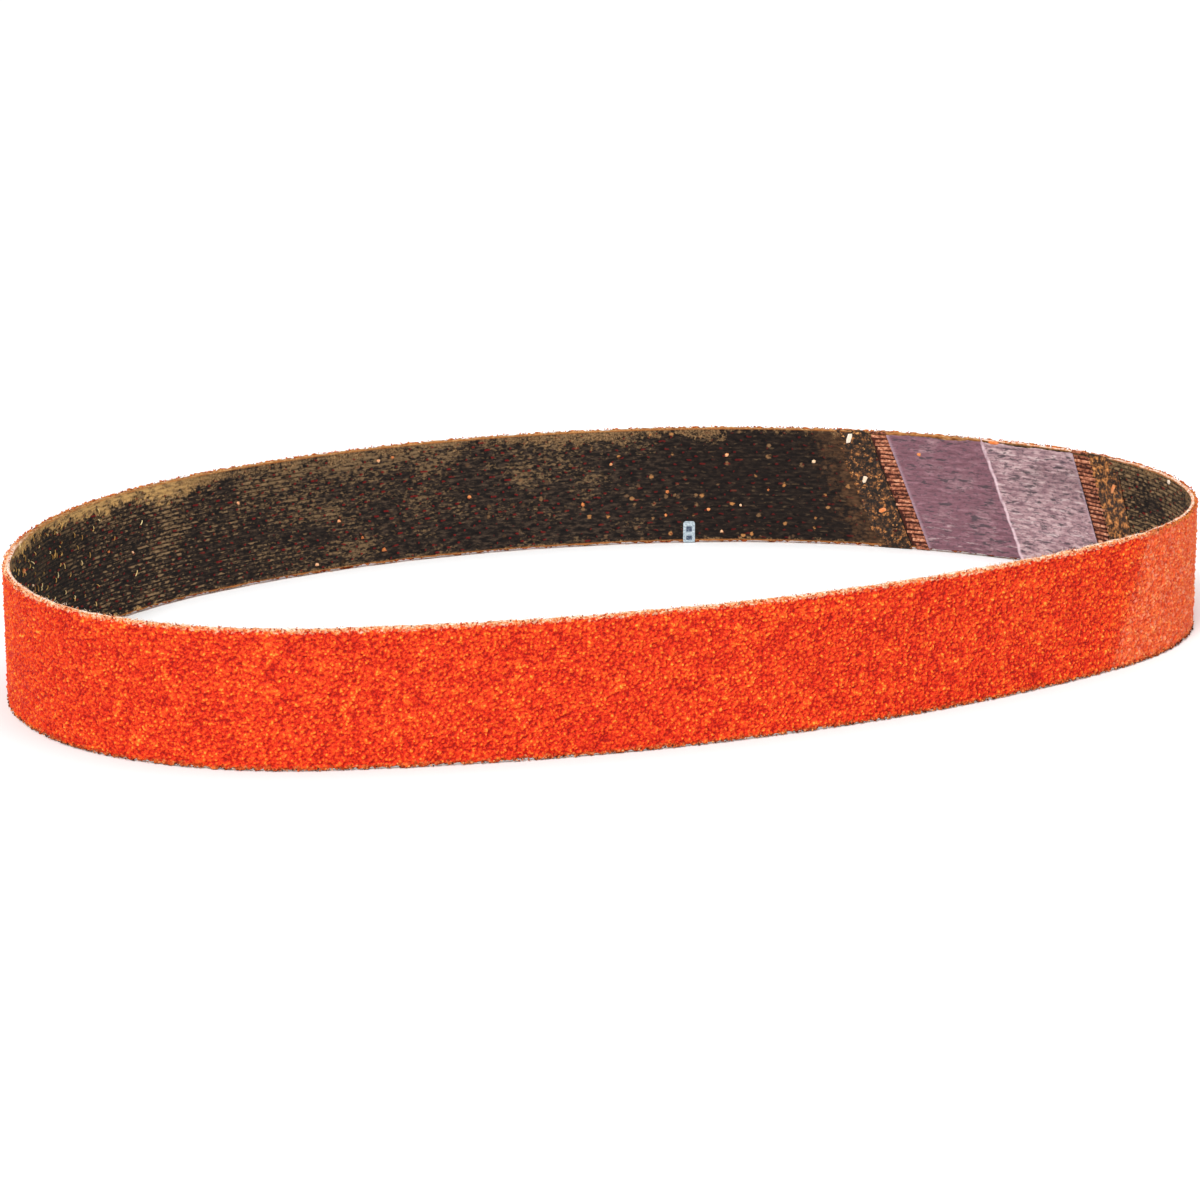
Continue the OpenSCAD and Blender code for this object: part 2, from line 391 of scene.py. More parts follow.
class Value:
    """The output of a node. Arithmetic on it adds math nodes."""

    def __init__(self, socket):
        self.socket = socket
        self.tree = socket.id_data

    def node(self, kind, entry=0, **inputs):
        """A new node that this value enters, with its other inputs set by name."""
        node = self.tree.nodes.new("ShaderNode" + kind)
        connect(self, node.inputs[entry])
        for name, number in inputs.items():
            node.inputs[name].default_value = number
        return node

    def math(self, operation, other=0.0):
        node = self.node("Math")
        node.operation = operation
        connect(other, node.inputs[1])
        return Value(node.outputs[0])

    def __add__(self, other):
        return self.math("ADD", other)

    def __sub__(self, other):
        return self.math("SUBTRACT", other)

    def __mul__(self, other):
        return self.math("MULTIPLY", other)

    def __truediv__(self, other):
        return self.math("DIVIDE", other)

    def __abs__(self):
        return self.math("ABSOLUTE")

    def larger(self, other):
        return self.math("MAXIMUM", other)

    def clamped(self):
        self.socket.node.use_clamp = True
        return self

    def band(self, low, high, out_low=0.0, out_high=1.0):
        """A smooth step from out_low to out_high as the value goes from low to high."""
        limits = {"From Min": low, "From Max": high, "To Min": out_low, "To Max": out_high}
        node = self.node("MapRange", "Value", **limits)
        node.interpolation_type = "SMOOTHSTEP"
        return Value(node.outputs["Result"])

    def swing(self, reach, low=0.3, high=0.7):
        """Noise that goes from low to high, as a shift from -reach to reach."""
        return self.band(low, high, -reach, reach)

    def near(self, middle, end, full, peak=1.0):
        """peak within full of the middle, falling to 0 at end from it."""
        return abs(self - middle).band(end, full, 0.0, peak)

    def ramp(self, stops):
        node = self.node("ValToRGB")
        elements = node.color_ramp.elements
        while len(elements) < len(stops):
            elements.new(0.5)
        for element, (at, colour) in zip(elements, stops):
            element.position = at
            element.color = srgb(*colour)
        return Value(node.outputs[0])

    def scaled(self, *scale):
        node = self.node("VectorMath")
        node.operation = "MULTIPLY"
        node.inputs[1].default_value = scale
        return Value(node.outputs[0])

    def part(self, axis):
        return Value(self.node("SeparateXYZ").outputs[axis])

    def noise(self, scale, detail, roughness):
        node = self.node("TexNoise", "Vector", Scale=scale, Detail=detail, Roughness=roughness)
        return Value(node.outputs["Fac"])

    def cells(self, scale, output):
        return Value(self.node("TexVoronoi", "Vector", Scale=scale).outputs[output])


class Finish:
    """A material. belt is the place on the belt: s, z and depth in millimetres."""

    def __init__(self, name, specular):
        self.material = bpy.data.materials.new(name)
        self.material.use_nodes = True
        self.tree = self.material.node_tree
        self.shader = self.tree.nodes["Principled BSDF"]
        self.shader.inputs["Specular IOR Level"].default_value = specular
        self.belt = self.field("belt", "Vector")

    def field(self, name, output="Fac"):
        node = self.tree.nodes.new("ShaderNodeAttribute")
        node.attribute_name = name
        return Value(node.outputs[output])

    def mix(self, share, a, b):
        """Colour a, with this share of colour b."""
        node = self.tree.nodes.new("ShaderNodeMix")
        node.data_type = "RGBA"
        connect(share, node.inputs[0])
        connect(a, node.inputs[6])
        connect(b, node.inputs[7])
        return Value(node.outputs[2])

    def bump(self, height, distance, strength=1.0, after=None):
        """A normal from a height, on top of the bump before it."""
        node = height.node("Bump", "Height", Distance=distance * MM, Strength=strength)
        if after:
            connect(after, node.inputs["Normal"])
        return Value(node.outputs[0])

    def done(self, colour, roughness, normal):
        connect(colour, self.shader.inputs["Base Color"])
        connect(roughness, self.shader.inputs["Roughness"])
        connect(normal, self.shader.inputs["Normal"])
        return self.material


# Stretches of the belt, for Value.near: the middle, how far an effect reaches from it, and how
# far it is at its full strength
BACK_MIDDLE = 255.0
BEHIND_FACE = (BACK_MIDDLE, 142.0, 118.0)
BEHIND_CUT_EDGE = (262.0, 132.0, 112.0)
BESIDE_SPLICE = (232.0, 34.0, 12.0)
RIGHT_CORNER = (150.0, 26.0, 12.0)
KHAKI_RUN = (311.0, 17.0, 6.0)
DARK_RUN = (347.0, 24.0, 10.0)
GOLDEN_RIM = (362.0, 36.0, 16.0)
LEFT_END = (388.0, 34.0, 16.0)
# Where these begin along the belt and where they are at their full strength
LEFT_WEAR = (285.0, 350.0)
SPECKLED = (290.0, 262.0)
REDDER = (215.0, 300.0)

# Each ramp runs from painted shade for the crevices at its low end to painted highlight for the
# grain tops at its high end
ORANGE_STOPS = [(0.0, (150, 20, 10)), (0.20, (206, 35, 16)), (0.40, (232, 66, 26)),
                (0.62, (246, 102, 31)), (0.88, (255, 168, 64))]
PALE_STOPS = [(0.0, (196, 56, 28)), (0.20, (222, 76, 38)), (0.40, (238, 98, 48)),
              (0.62, (246, 124, 62)), (0.88, (255, 184, 120))]
EDGE_STOPS = [(0.30, (92, 34, 14)), (0.38, (210, 84, 30)), (0.46, (234, 140, 78)),
              (0.55, (244, 200, 154)), (0.67, (255, 238, 222))]
BACK_EDGE_STOPS = [(0.30, (76, 34, 14)), (0.42, (170, 80, 28)), (0.54, (204, 118, 46)),
                   (0.68, (226, 168, 96))]
FOOT_EDGE_STOPS = [(0.32, (52, 18, 10)), (0.44, (150, 56, 22)), (0.54, (206, 100, 40)),
                   (0.66, (238, 170, 110))]
# The first colour is for painted glints on the grain tops; then dark specks and chalky wear
PAINTED_GLINT, PIT, CHALKY = (255, 200, 150), (112, 22, 14), (240, 160, 128)
# Cells of colour a millimetre, on the grain and, below, for the specks on the cloth
GRAIN_CELLS = 1.95


def grain_finish(name, stops, other_stops, chalk=0.0):
    """Resin-coated grain: colour by height and by grain, with painted shade in the crevices and
    painted highlights on the tops. Near the end of the stretch the colour runs over into that of
    the other one."""
    f = Finish(name, 0.12)
    s, z = f.belt.part(0), f.belt.part(1)
    on_face = f.belt.scaled(1.0, 1.0, 0.35)
    crown = on_face.cells(GRAIN_CELLS, "Distance").band(0.62, 0.10)
    own = on_face.cells(GRAIN_CELLS, "Color").part(0)
    fine = f.belt.noise(4.6, 3.0, 0.6)
    patch = f.belt.noise(0.30, 3.0, 0.5)
    # Height and the grains' middles set the colour: low places and grain borders darker as
    # painted shade, tops lighter as painted highlight; own gives each grain its own random tone
    value = f.field("lift") * 0.46 + crown * 0.36 + own * 0.10
    value = (value + fine.swing(0.18) + patch.swing(0.06)).clamped()
    ragged = f.belt.noise(1.1, 4.0, 0.65).swing(2.2)
    over = (f.field("fade") + ragged).band(-2.0, 2.6, 0.75, 0.0)
    face = f.mix(over, value.ramp(stops), value.ramp(other_stops))
    # Painted glints, strongest on the tops of the grains
    glint = f.belt.noise(3.3, 2.0, 0.5).band(0.71, 0.78)
    face = f.mix(glint * value, face, PAINTED_GLINT)
    pit = f.belt.noise(1.15, 3.0, 0.6).band(0.715, 0.76)
    face = f.mix(pit * 0.7, face, PIT)
    if chalk:
        worn = f.belt.scaled(1.3, 0.8, 1.0).noise(1.4, 4.0, 0.7)
        face = f.mix(worn.band(0.50, 0.68, 0.0, chalk), face, CHALKY)
    # The face is chipped to bare grain and cloth along both cut edges
    crumb = f.belt.noise(2.2, 4.0, 0.74)
    edge = f.mix(s.near(*BEHIND_FACE), crumb.ramp(EDGE_STOPS), crumb.ramp(BACK_EDGE_STOPS))
    edge = f.mix(z.band(3.0, 1.0), edge, crumb.ramp(FOOT_EDGE_STOPS))
    shaken = z + f.belt.noise(1.7, 4.0, 0.7).swing(0.42)
    chipped = shaken.band(WIDTH - 0.66, WIDTH - 0.36).larger(shaken.band(0.72, 0.40))
    chipped = (chipped * 0.8).larger(f.field("rim"))
    normal = f.bump(crown, 0.14, 0.8)
    normal = f.bump(f.belt.noise(7.0, 4.0, 0.65), 0.06, 1.0, normal)
    return f.done(f.mix(chipped, face, edge), fine.band(0.25, 0.75, 0.42, 0.75), normal)


ORANGE = grain_finish("supersize_orange", ORANGE_STOPS, PALE_STOPS)
PALE = grain_finish("size_coat_pale_orange", PALE_STOPS, ORANGE_STOPS, chalk=0.7)

RIBS = 30
RIB_PITCH = WIDTH / RIBS
DOT_STEP = 4.1
SATIN_SHIFT = 0.4
SPECK_CELLS = 0.60

CLOTH_STOPS = [(0.30, (12, 10, 10)), (0.47, (32, 26, 23)), (0.64, (72, 58, 48)),
               (0.78, (112, 92, 72))]
DUST_STOPS = [(0.0, (98, 72, 52)), (0.5, (150, 112, 76)), (0.9, (206, 140, 80))]
KHAKI_STOPS = [(0.32, (26, 18, 14)), (0.43, (92, 68, 46)), (0.55, (138, 106, 72)),
               (0.72, (204, 160, 108))]
SANDY_STOPS = [(0.35, (98, 60, 34)), (0.50, (160, 106, 62)), (0.65, (204, 156, 104))]
CREAM_STOPS = [(0.32, (164, 84, 40)), (0.41, (222, 136, 84)), (0.50, (236, 202, 176)),
               (0.68, (252, 242, 232))]
TAN_STOPS = [(0.32, (60, 34, 20)), (0.42, (140, 94, 54)), (0.54, (178, 134, 84)),
             (0.72, (222, 184, 132))]
DARK_BROWN, DARK_CORNER, DARK_END = (26, 19, 17), (24, 21, 20), (17, 15, 14)
WORN_KHAKI, BARE_CREST, GOLDEN_TAN = (130, 103, 73), (152, 122, 88), (214, 168, 104)
# The first colour is painted shade for the grooves between the ribs
PAINTED_RIB_SHADE, DOT_GAP, RED_DOT = (15, 13, 12), (15, 12, 12), (112, 20, 20)
BROWN_SMEAR, RUST = (112, 78, 52), (184, 108, 50)


def cloth_finish():
    """The dark resin-finished back: ribs, rows of red dots, tan dashes, and worn patches."""
    f = Finish("dark_finished_cloth", 0.10)
    s, z = f.belt.part(0), f.belt.part(1)
    rib = f.field("rib")
    smear = f.belt.scaled(0.7, 1.9, 0.0).noise(1.0, 5.0, 0.65)
    patch = f.belt.scaled(0.8, 1.5, 0.0).noise(0.13, 5.0, 0.68)
    grit = f.belt.scaled(0.7, 1.3, 0.0).noise(1.7, 3.0, 0.65)
    left = s.band(*LEFT_WEAR)
    corner = s.near(*RIGHT_CORNER)
    splice = s.near(*BESIDE_SPLICE).larger(corner)
    base = f.mix(splice * 0.55, smear.ramp(CLOTH_STOPS), DARK_BROWN)
    # Worn khaki patches, more of them towards the left end of the far run
    worn = patch + left * 0.07 + s.near(*KHAKI_RUN) * 0.065 - s.near(*DARK_RUN) * 0.05
    worn = worn + z.band(5.0, 17.0, -0.06, 0.04) - splice * 0.25 + grit.swing(0.17)
    base = f.mix(worn.band(0.53, 0.73, 0.0, 0.78), base, WORN_KHAKI)
    base = f.mix(corner * 0.75, base, DARK_CORNER)
    # Painted shade in the grooves between the ribs, stronger towards the left end and at the
    # right corner
    rib_shade = rib.band(0.42, 0.10) * patch.band(0.35, 0.6, 0.35, 0.75)
    rib_shade = rib_shade * left.band(0.0, 0.6, 0.3, 1.0).larger(corner)
    base = f.mix(rib_shade, base, PAINTED_RIB_SHADE)
    # Tan dashes where the finish has gone from the crests of the ribs
    dash = f.belt.scaled(0.62, 1.25, 0.0).noise(1.35, 2.0, 0.5)
    dash = dash + left * 0.075 + patch.swing(0.05, 0.35, 0.65)
    dash = dash.band(0.605, 0.70) * rib.band(0.25, 0.8) * left.band(0.0, 1.0, 0.2, 0.8)
    base = f.mix(dash, base, BARE_CREST)
    # Round specks of dust and resin, mostly near the splice
    flat_belt = f.belt.scaled(1.0, 1.0, 0.0)
    kind = flat_belt.cells(SPECK_CELLS, "Color")
    speck = (flat_belt.cells(SPECK_CELLS, "Distance") + grit.swing(0.08)).band(0.26, 0.12)
    speck = speck * kind.part(1).band(0.48, 0.52) * s.band(*SPECKLED, 0.05, 0.75)
    base = f.mix(speck, base, kind.part(0).ramp(DUST_STOPS))
    base = f.mix(s.near(*LEFT_END) * 0.70, base, DARK_END)
    # A dark gap and a red dot wherever a crosswise yarn comes up, in satin order
    row = z / RIB_PITCH
    drift = f.belt.noise(0.5, 2.0, 0.5).swing(0.13)
    turn = s / DOT_STEP + row.math("FLOOR") * SATIN_SHIFT
    across = (row.math("FRACT") - 0.5) * RIB_PITCH
    along = ((turn + drift).math("FRACT") - 0.5) * DOT_STEP
    shown = f.belt.noise(0.33, 3.0, 0.6).band(0.42, 0.50)

    def dot(shift, half_length, half_height):
        x, y = (along - shift) / half_length, across / half_height
        return (x * x + y * y).band(1.3, 0.5) * shown

    base = f.mix(dot(0.34, 0.46, 0.24) * 0.8, base, DOT_GAP)
    base = f.mix(dot(-0.10, 0.24, 0.175) * s.band(*REDDER, 0.35, 0.85), base, RED_DOT)
    # Wear along both cut edges, golden at the left end
    ragged = f.belt.noise(0.75, 5.0, 0.65)
    reach = f.belt.noise(0.09, 2.0, 0.5).swing(0.9, 0.35, 0.65)
    wide = s.near(*GOLDEN_RIM, 1.1)
    edge = (z + reach + ragged.swing(1.6, 0.25, 0.75) + wide).band(WIDTH - 1.6, WIDTH - 0.2)
    edge = edge.larger((z - ragged.swing(0.9, 0.25, 0.75)).band(0.75, 0.1))
    base = f.mix(edge * 0.72, base, f.belt.noise(3.0, 4.0, 0.72).ramp(KHAKI_STOPS))
    base = f.mix(edge * wide * smear.band(0.40, 0.56, 0.15, 0.75), base, GOLDEN_TAN)
    # Brown adhesive smeared to the left of the splice, and sandy cloth ground bare under it
    beyond = s - lean(z) - JOINT_S
    smeared = (beyond + ragged.swing(3.5)).band(29.5, 24.0) * beyond.band(20.0, 22.0)
    base = f.mix(smeared * smear.band(0.36, 0.62, 0.15, 0.52), base, BROWN_SMEAR)
    base = f.mix(abs(beyond).band(18.6, 17.6) * 0.9, base, ragged.ramp(SANDY_STOPS))
    rust = z.band(WIDTH - 0.55, WIDTH - 0.20).larger(z.band(0.70, 0.40))
    base = f.mix(rust * 0.8, base, RUST)
    cut = f.belt.noise(2.2, 4.0, 0.74)
    rim = f.mix(s.near(*BEHIND_CUT_EDGE), cut.ramp(CREAM_STOPS), cut.ramp(TAN_STOPS))
    normal = f.bump(dash, 0.03, 0.7)
    normal = f.bump(f.belt.noise(6.0, 4.0, 0.7), 0.05, 0.8, normal)
    return f.done(f.mix(f.field("rim"), base, rim), smear.band(0.3, 0.7, 0.62, 0.9), normal)


BACK = cloth_finish()

MAUVE_STOPS = [(0.28, (70, 55, 61)), (0.40, (112, 75, 84)), (0.56, (131, 90, 100)),
               (0.72, (160, 120, 129))]
GREY_STOPS = [(0.28, (72, 62, 68)), (0.39, (128, 100, 106)), (0.52, (172, 138, 141)),
              (0.68, (212, 186, 184))]
LIT_STREAK, DARK_STREAK, DARK_MARK = (214, 192, 190), (66, 57, 62), (88, 70, 78)
JOINT_RIDGE, FILM_RIM = (226, 196, 202), (190, 164, 176)


def film_finish():
    """Frosted mauve film over the ribs, greyer on one side of the joint."""
    f = Finish("mauve_splice_film", 0.22)
    u = f.field("along")
    streak = f.belt.scaled(0.42, 1.7, 0.0).noise(1.0, 5.0, 0.72)
    cloud = f.belt.noise(0.20, 3.0, 0.55)
    grey = u.band(0.3, -0.3)
    share = grey * 0.72 + cloud.band(0.32, 0.68, -0.30, 0.34)
    base = f.mix(share.band(0.05, 0.85), streak.ramp(MAUVE_STOPS), streak.ramp(GREY_STOPS))
    light = f.belt.scaled(0.26, 1.3, 0.0).noise(1.3, 4.0, 0.62)
    lit = grey.larger(f.belt.part(1).band(8.0, 2.0, 0.10, 0.75))
    base = f.mix(light.band(0.54, 0.68, 0.0, 0.7) * lit, base, LIT_STREAK)
    dark = f.belt.scaled(0.36, 1.35, 0.0).noise(1.15, 4.0, 0.62)
    dark = dark + cloud.swing(0.03, 0.35, 0.65)
    base = f.mix(dark.band(0.55, 0.64, 0.0, 0.85), base, DARK_STREAK)
    marks = f.belt.scaled(1.0, 1.7, 0.0).noise(1.3, 3.0, 0.6)
    base = f.mix(marks.band(0.53, 0.64, 0.0, 0.68), base, DARK_MARK)
    sway = f.belt.noise(0.5, 2.0, 0.5).swing(0.13)
    ridge = abs(u + sway).band(0.40, 0.05)
    ridge = ridge * f.belt.noise(0.8, 3.0, 0.6).band(0.32, 0.55, 0.45, 1.0)
    base = f.mix(ridge * 0.85, base, JOINT_RIDGE)
    edge = abs(u).band(FILM_HALF - 0.70, FILM_HALF - 0.10)
    base = f.mix(edge * 0.38, base, FILM_RIM)
    return f.done(base, streak.band(0.3, 0.7, 0.34, 0.55), f.bump(streak, 0.06, 0.8))


FILM = film_finish()

CLOT_STOPS = [(0.36, (18, 12, 8)), (0.47, (42, 27, 17)), (0.54, (96, 62, 36)),
              (0.61, (176, 112, 58)), (0.71, (232, 158, 92))]
CLOT_FLECK = (232, 164, 96)


def residue_finish():
    """Set adhesive: dark brown, with golden clots and orange flecks."""
    f = Finish("golden_adhesive_residue", 0.25)
    clump = f.belt.noise(1.15, 4.0, 0.78)
    more = f.belt.part(0).band(210.0, 190.0, -0.02, 0.035)
    fleck = f.belt.noise(1.7, 2.0, 0.5).band(0.66, 0.72)
    colour = f.mix(fleck * 0.8, (clump + more).ramp(CLOT_STOPS), CLOT_FLECK)
    return f.done(colour, clump.band(0.3, 0.7, 0.4, 0.7), f.bump(clump, 0.10))


RESIDUE = residue_finish()


def toned_finish(name, roughness, stops, grain_scale=4000.0, spread=0.15):
    """Bits whose colour varies from one to the next, with a fine grain on each."""
    f = Finish(name, 0.2)
    place_node = f.tree.nodes.new("ShaderNodeTexCoord")
    fine = Value(place_node.outputs["Object"]).noise(grain_scale, 3.0, 0.6)
    value = (f.field("tone") + fine.swing(spread)).clamped()
    return f.done(value.ramp(stops), roughness, f.bump(fine, 0.03))


YARN = toned_finish("salmon_bare_yarn", 0.75, [
    (0.0, (66, 34, 24)), (0.4, (148, 86, 62)), (0.75, (188, 118, 88)),
    (1.0, (218, 158, 124))], 2000.0, 0.42)
GROUND = toned_finish("brown_ground_cloth", 0.8, [(0.0, (44, 18, 14)), (1.0, (84, 38, 28))])
FIBRE = toned_finish("cream_cut_fibre", 0.8, [
    (0.0, (186, 104, 52)), (0.35, (228, 180, 132)), (1.0, (255, 246, 234))])
CRUMB = toned_finish("broken_edge_grain", 0.5, [
    (0.0, (78, 30, 14)), (0.25, (190, 62, 22)), (0.60, (222, 112, 46)),
    (0.82, (234, 176, 112)), (1.0, (250, 228, 204))])
GOLDEN = toned_finish("golden_yarn_end", 0.7, [
    (0.0, (170, 122, 62)), (0.5, (232, 184, 104)), (1.0, (255, 232, 170))])
FOOT = toned_finish("brown_edge_grain", 0.6, [
    (0.0, (44, 16, 10)), (0.35, (112, 44, 20)), (0.70, (186, 88, 36)),
    (1.0, (236, 168, 104))])
CHIP = toned_finish("chipped_set_adhesive", 0.5, [
    (0.0, (226, 120, 56)), (0.45, (226, 180, 132)), (1.0, (244, 226, 206))])
STRAY = toned_finish("loose_tan_grain", 0.45, [
    (0.0, (140, 70, 44)), (0.45, (222, 132, 70)), (1.0, (240, 206, 166))])
RESIN = toned_finish("joint_resin", 0.4, [(0.0, (190, 160, 158)), (1.0, (228, 204, 204))])

# The printed patch: where it is, its length and height, and the middle and half-height of
# each of its two blocks
MARK_S = 250.1
MARK_LENGTH, MARK_HEIGHT = 1.9, 3.6
LOWER_BLOCK, UPPER_BLOCK = (0.85, 0.42), (2.3, 0.50)
BLOCK_HALF_LENGTH = 0.52
BLUR = 0.12
INK_STOPS = [(0.30, (120, 134, 144)), (0.50, (168, 182, 190)), (0.70, (206, 214, 218))]
DARK_INK = (38, 52, 78)


def mark_finish():
    """A generic patch of pale ink with two dark blocks."""
    f = Finish("pale_blue_grey_ink", 0.4)
    s, z = f.belt.part(0), f.belt.part(1)
    worn = f.belt.noise(3.0, 4.0, 0.65)
    lower, upper = (z.near(at, half, half - BLUR) for at, half in (LOWER_BLOCK, UPPER_BLOCK))
    across = s.near(MARK_S, BLOCK_HALF_LENGTH, BLOCK_HALF_LENGTH - BLUR)
    block = lower.larger(upper) * across * worn.band(0.36, 0.50, 0.25, 0.95)
    return f.done(f.mix(block, worn.ramp(INK_STOPS), DARK_INK), 0.6, f.bump(worn, 0.03))


INK = mark_finish()

# ---- the abrasive side --------------------------------------------------------------------

GRAIN_STEP = 0.16
GRAIN_ROOT = 0.70


def edge_low(u):
    """The lower cut edge: broken grain leaves it serrated."""
    return 0.25 + 0.20 * wobble(u, 0.42, 11) + 0.03 * wobble(u, 1.7, 13)


def edge_high(u):
    return WIDTH - 0.20 - 0.16 * wobble(u, 0.42, 12) - 0.08 * wobble(u, 2.1, 16)


def grain_depth(sunk):
    def depth(s, z):
        return GRAIN_ROOT - sunk + grain_height(s, z) + 0.02 * wobble2(s, z, 1.7, 8)
    return depth


def grain_lift(s, z):
    return np.clip(grain_height(s, z) / TALL_GRAIN, 0, 1)


def from_joint(s, z):
    return s - lean(z) - JOINT_S


def from_bare(s, z):
    """Distance from the nearer end of the stretch without the supersize coat."""
    around = np.mod(from_joint(s, z) + LENGTH / 2, LENGTH) - LENGTH / 2
    return np.abs(np.abs(around) - BARE_HALF)


def flat(value):
    """The same depth, tone or edge height everywhere."""
    return lambda *place: np.full(place[0].shape, value)


def spaced(start, end, step):
    return np.linspace(start, end, max(2, math.ceil((end - start) / step) + 1))


def grain_face(name, start, end, sunk, material, nodes, folds, seed):
    laminate(name, spaced(start, end, GRAIN_STEP), grain_depth(sunk), flat(CLOTH_DEPTH),
             edge_low, edge_high, (round(WIDTH / GRAIN_STEP), 1, 5), material, nodes,
             rough=0.08, fields={"lift": grain_lift, "fade": from_bare}, folds=folds, seed=seed)


grain_face("orange_grain_face", JOINT_S + BARE_HALF, JOINT_S - BARE_HALF + LENGTH, 0.0, ORANGE,
           ["supersize_coat", "size_coat", "abrasive_grain", "make_coat"], 4, 21)
grain_face("pale_grain_face", JOINT_S - BARE_HALF, JOINT_S + BARE_HALF, 0.03, PALE,
           ["size_coat", "abrasive_grain", "make_coat"], 3, 22)

# ---- the cloth side -----------------------------------------------------------------------

RIB_DEPTH = 0.085


def rib_phase(s, z):
    """1 on the crests of the ribs and 0 between them."""
    return 0.5 - 0.5 * np.cos(2 * math.pi * (z / RIB_PITCH + 0.05 * wobble(s, 6.0, 31)))


def cloth_inner(s, z):
    """0 on the crests of the ribs, deeper between them, and ground away at the splice."""
    ground = np.abs(from_joint(s, z)) < SKIVE_HALF
    ground = ground | (np.abs(from_joint(s, z) - LENGTH) < SKIVE_HALF)
    picks = 0.012 * wobble2(s * 0.7, z, 0.7, 33)
    valleys = (1 - rib_phase(s, z)) * RIB_DEPTH
    return valleys + 0.02 * wobble2(s, z, 2.5, 32) + picks + ground * 0.05


def cloth_low(u):
    return 0.42 + 0.12 * wobble(u, 1.9, 14) + 0.08 * wobble(u, 0.8, 17)


def cloth_high(u):
    return WIDTH - 0.17 - 0.09 * wobble(u, 1.7, 15) - 0.07 * wobble(u, 0.7, 18)


cloth = laminate(
    "ribbed_cloth_backing", spaced(JOINT_S + JOINT_GAP, JOINT_S - JOINT_GAP + LENGTH, 0.6),
    flat(CLOTH_DEPTH), cloth_inner, cloth_low, cloth_high, (1, RIBS * 4, 3), BACK,
    ["cloth_core", "back_size_coat", "front_fill_coat", "warp_yarns"], rough=0.04,
    fields={"rib": rib_phase}, folds=5, seed=23)

laminate(
    "joint_resin_line", spaced(JOINT_S - JOINT_GAP, JOINT_S + JOINT_GAP, 0.05),
    flat(CLOTH_DEPTH + 0.2), flat(-0.02), flat(0.08), flat(WIDTH - 0.08), (1, 60, 2), RESIN,
    ["butt_joint_resin"])


def frayed_ends(count, middle, spread):
    """Short golden yarn ends that stand out of the back at the left end of the loop."""
    rng = np.random.default_rng(55)
    start_s = rng.normal(middle, spread, count)[:, None]
    start_z = rng.uniform(1.5, WIDTH - 0.6, count)[:, None]
    size = rng.uniform(0.25, 1.1, count)[:, None]
    t = np.linspace(0, 1, 5)[None]
    slope = rng.normal(0, 0.5, count)[:, None]
    s = start_s + size * t * slope + 0.12 * rng.normal(size=(count, 1)) * t * t
    z = np.clip(start_z + size * t * 0.8, 0.2, WIDTH)
    depth = -0.10 * np.sin(math.pi * t) - 0.02 + 0 * s
    thick = np.full(s.shape, 0.085) * (1 - 0.4 * t) * MM
    tubes("frayed_yarn_ends", place(s, depth, z), thick, GOLDEN, (), 5,
          rng.uniform(0, 1, count))


frayed_ends(220, 382.0, 12.0)

# ---- the splice on the inside -------------------------------------------------------------

def film_inner(s, z):
    """The film's face, with the ribs showing through it and a ridge over the joint."""
    ridge = np.exp(-(from_joint(s, z) / 0.22) ** 2)
    waves = 0.02 * wobble2(s * 0.5, z * 2, 0.9, 41)
    return -0.11 + 0.035 * (1 - rib_phase(s, z)) - 0.09 * ridge - waves


def film_low(u):
    return 0.42 + 0.12 * wobble(u, 1.6, 42) + 0.05 * wobble(u, 0.4, 46)


def film_high(u):
    return WIDTH - 0.60 - 0.16 * wobble(u, 1.9, 43) - 0.05 * wobble(u, 0.4, 47)


laminate(
    "splice_film_patch", spaced(JOINT_S - FILM_HALF, JOINT_S + FILM_HALF, 0.11),
    flat(-0.005), film_inner, film_low, film_high, (1, RIBS * 4, 2), FILM,
    ["splice_film"], fields={"along": from_joint})
laminate(
    "splice_adhesive_bed", spaced(JOINT_S - SKIVE_HALF + 0.1, JOINT_S + SKIVE_HALF - 0.1, 0.3),
    flat(0.12), lambda s, z: 0.03 + 0.012 * wobble2(s, z, 0.8, 44), flat(0.70),
    flat(WIDTH - 0.95), (1, 60, 2), GROUND, ["splice_adhesive"],
    fields={"tone": lambda s, z: 0.5 + 0.5 * wobble2(s, z, 0.5, 45)})


def bare_yarns(steps=10, thickness=0.25):
    """The ends of the lengthwise yarns, bare between the film and the residue."""
    rng = np.random.default_rng(50)
    paths, radii, tones = [], [], []
    for side, longer in ((-1, 0.4), (1, -0.25)):
        for k in range(RIBS):
            end = SKIVE_HALF + rng.uniform(-0.45, 0.30) + longer
            u = np.linspace(FILM_HALF - 0.05, end, steps)
            z = (k + 0.5) * RIB_PITCH + 0.05 * rng.uniform(-1, 1)
            z = z + 0.035 * np.cumsum(rng.uniform(-1, 1, steps))
            depth = -0.01 + 0.02 * rng.uniform(-1, 1, steps)
            paths.append(place(JOINT_S + side * u + lean(z), depth, z))
            own = rng.uniform(0.78, 1.08)
            radii.append(thickness * own * rng.uniform(0.80, 1.12, steps) * MM)
            tones.append(rng.uniform(0.2, 0.8))
    tubes("bare_splice_yarns", np.array(paths), np.array(radii), YARN, ["warp_yarns"],
          8, np.array(tones), flat=0.42)


bare_yarns()


